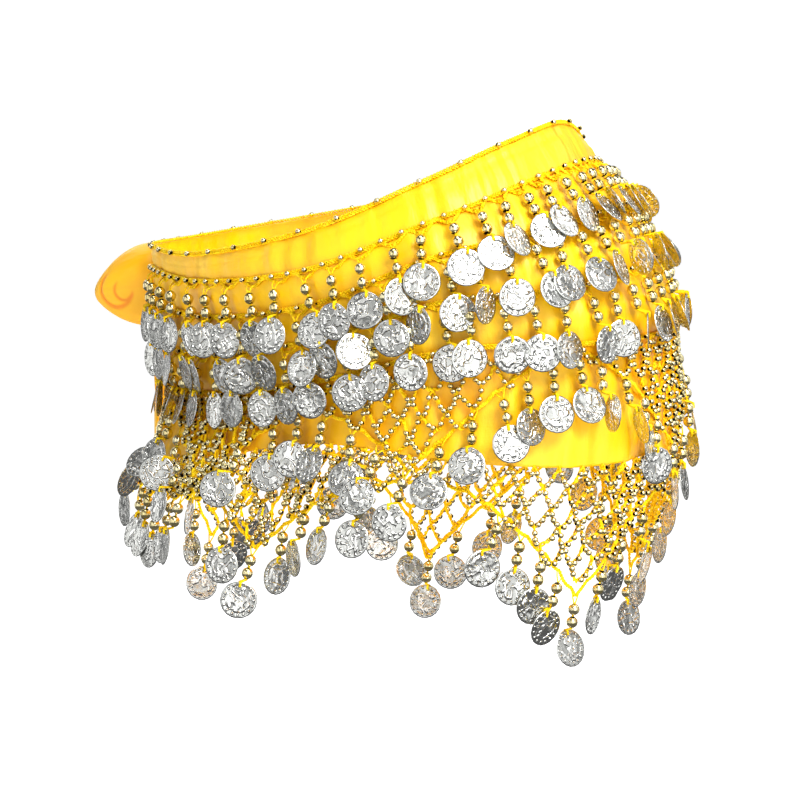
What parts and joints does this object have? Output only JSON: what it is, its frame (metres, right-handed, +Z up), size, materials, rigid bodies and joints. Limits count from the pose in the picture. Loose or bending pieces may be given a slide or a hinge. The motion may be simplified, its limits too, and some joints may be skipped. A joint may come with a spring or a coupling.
{
  "type": "belly dance hip scarf",
  "caption": "Worn yellow satin hip scarf tied at one side, with crochet edging, rows of bead and coin strands, and beaded nets ending in points.",
  "frame": {"origin": "middle of the waist opening", "axes": "+Z up, front of the scarf faces -Y, its left side faces +X"},
  "size_m": [0.3939, 0.2988, 0.3057],
  "materials": {
    "yellow_satin": "satin with a soft sheen",
    "yellow_crochet": "matt crochet thread",
    "beads_and_coins": "silver coins and pale gold beads",
    "gold_beads": "pale gold plated beads",
    "silver_coins": "stamped silver-coloured metal"
  },
  "bodies": {
    "root": {"cloth_wrap": "yellow_satin", "waist_edging": "yellow_crochet", "coin_row_1": "beads_and_coins", "coin_row_2": "beads_and_coins", "coin_row_3": "beads_and_coins", "upper_net": "yellow_crochet", "upper_net_coins": "beads_and_coins", "lower_net": "yellow_crochet", "lower_net_coins": "beads_and_coins", "knot": "yellow_satin", "knot_loop": "yellow_satin", "knot_tail": "yellow_satin"}
  },
  "joints": []
}
